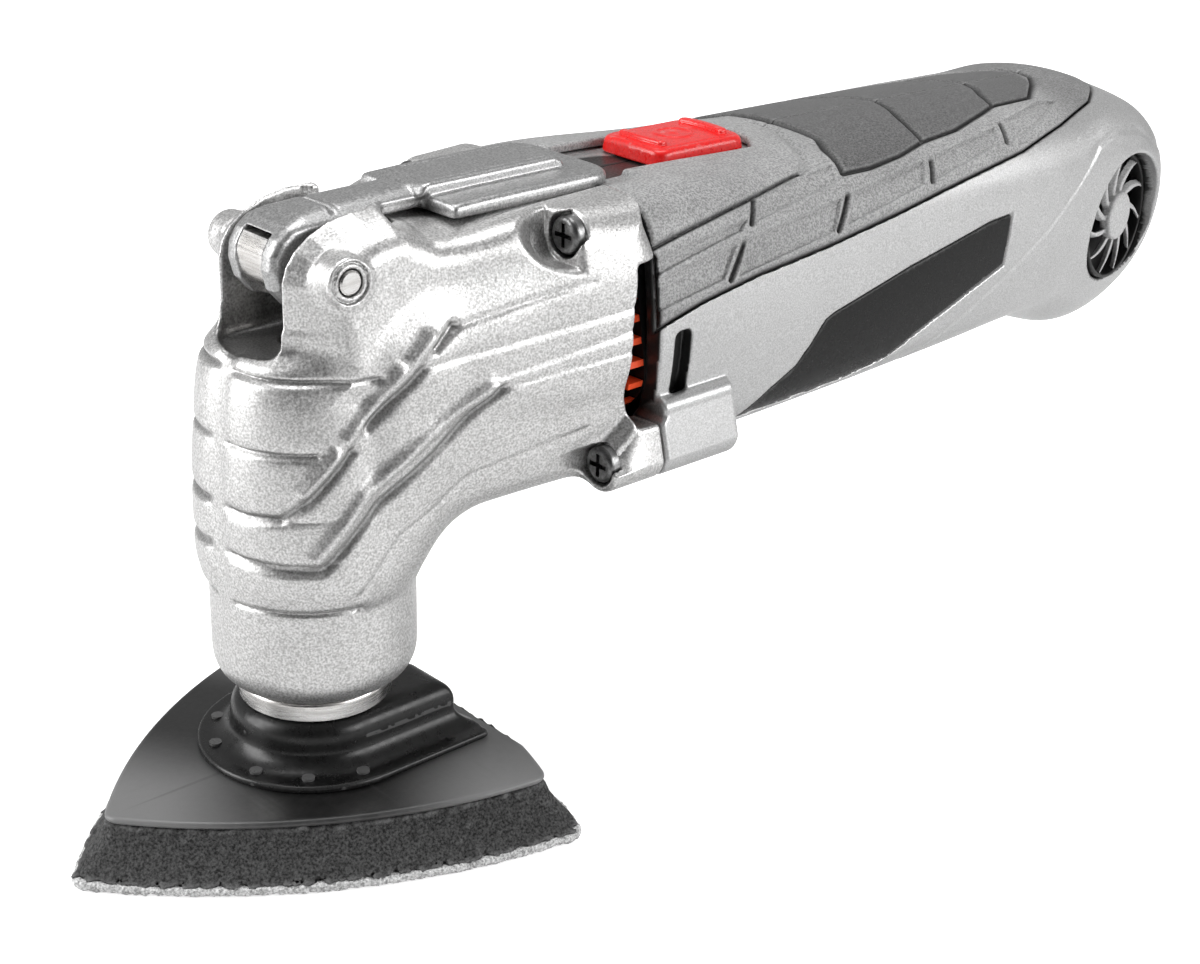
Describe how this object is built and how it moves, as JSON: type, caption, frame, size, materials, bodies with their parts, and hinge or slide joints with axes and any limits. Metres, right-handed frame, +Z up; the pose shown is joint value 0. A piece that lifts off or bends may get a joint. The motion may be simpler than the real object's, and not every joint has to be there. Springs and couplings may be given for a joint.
{
  "type": "oscillating multi tool",
  "caption": "Corded oscillating multi tool with a cast head, tool-free clamp lever, slide switch, two-shell handle and a delta sanding pad.",
  "frame": {"origin": "on the spindle axis, at the sanding face of the pad", "axes": "+Z up along the spindle, +X along the body towards the cord end, -Y is the tool's left side seen from the handle"},
  "size_m": [0.3067, 0.0922, 0.1182],
  "materials": {
    "cast_silver": "satin, sparkle cast",
    "lever_silver": "satin, grained",
    "dark_steel": "blackened",
    "bearing_steel": "ground",
    "bright_steel": "turned",
    "baffle_red": "gloss",
    "plate_aluminium": "machined",
    "shell_silver": "satin metallic",
    "grip_grey": "fine grained",
    "panel_black": "gloss",
    "grille_grey": "satin",
    "copper_winding": "enamelled copper",
    "commutator_brass": "machined",
    "carbon": "pressed carbon",
    "inner_plastic": "matt",
    "capacitor_yellow": "semi gloss",
    "cord_rubber": "satin",
    "hub_black": "semi gloss",
    "plate_black": "semi gloss",
    "foam_charcoal": "open foam",
    "hook_grey": "hook fabric",
    "switch_red": "gloss"
  },
  "bodies": {
    "housing": {"gear_head_casting": "cast_silver", "neck_cap": "dark_steel", "spindle_bearing_outer_rings": "bearing_steel", "spindle_bearing_balls": "bearing_steel", "lever_pin": "bright_steel", "head_screws": "dark_steel", "vent_baffle": "baffle_red", "motor_bearing_plate": "plate_aluminium", "motor_bearing_outer_rings": "bearing_steel", "motor_bearing_balls": "bearing_steel", "housing_left": "shell_silver", "housing_right": "shell_silver", "housing_screws": "dark_steel", "grip_left": "grip_grey", "grip_right": "grip_grey", "side_panel_left": "panel_black", "side_panel_right": "panel_black", "intake_grille_left": "grille_grey", "intake_grille_right": "grille_grey", "stator_core": "dark_steel", "field_coils": "copper_winding", "brush_bridge": "inner_plastic", "brush_holders": "commutator_brass", "carbon_brushes": "carbon", "brush_springs": "bright_steel", "lead_wires": "cord_rubber", "power_switch": "inner_plastic", "suppression_capacitor": "capacitor_yellow", "cord_sleeve": "cord_rubber", "power_cord": "cord_rubber", "cord_clamp": "inner_plastic", "cord_clamp_screws": "dark_steel"},
    "spindle": {"spindle": "bright_steel", "oscillation_fork": "dark_steel", "spindle_bearing_inner_rings": "bearing_steel", "clamp_spring": "bright_steel", "pad_hub": "hub_black", "hub_rivets": "dark_steel", "pad_plate": "plate_black", "pad_foam": "foam_charcoal", "hook_layer": "hook_grey", "drive_pins": "bright_steel"},
    "clamp": {"clamp_bolt": "bright_steel", "spring_collar": "bright_steel"},
    "lever": {"clamp_lever": "lever_silver", "lever_cam": "bright_steel"},
    "switch": {"switch_cap": "switch_red", "switch_link": "inner_plastic"},
    "rotor": {"motor_shaft": "bright_steel", "armature_core": "dark_steel", "armature_windings": "copper_winding", "commutator": "commutator_brass", "cooling_fan": "inner_plastic", "counterweight": "commutator_brass", "eccentric_bearing_outer_ring": "bearing_steel", "eccentric_bearing_inner_ring": "bearing_steel", "eccentric_bearing_balls": "bearing_steel", "motor_bearing_inner_rings": "bearing_steel"}
  },
  "joints": [
    {"name": "rotor_spin", "type": "hinge", "parent": "housing", "child": "rotor", "pos_m": [0.1, 0, 0.0856], "axis": [1, 0, 0], "continuous": true},
    {"name": "spindle_oscillation", "type": "hinge", "parent": "housing", "child": "spindle", "pos_m": [0, 0, 0], "axis": [0, 0, 1], "range_deg": [-1.6, 1.6]},
    {"name": "lever_pivot", "type": "hinge", "parent": "housing", "child": "lever", "pos_m": [-0.0028, 0, 0.1076], "axis": [0, -1, 0], "range_deg": [0, 110]},
    {"name": "clamp_slide", "type": "slide", "parent": "spindle", "child": "clamp", "axis": [0, 0, -1], "range_m": [0, 0.0025], "deforming": ["clamp_spring"]},
    {"name": "switch_slide", "type": "slide", "parent": "housing", "child": "switch", "axis": [-1, 0, 0], "range_m": [0, 0.005]}
  ],
  "couplings": [
    {"joint": "clamp_slide", "follows": "lever_pivot", "m_per_rad": 0.001302}
  ]
}
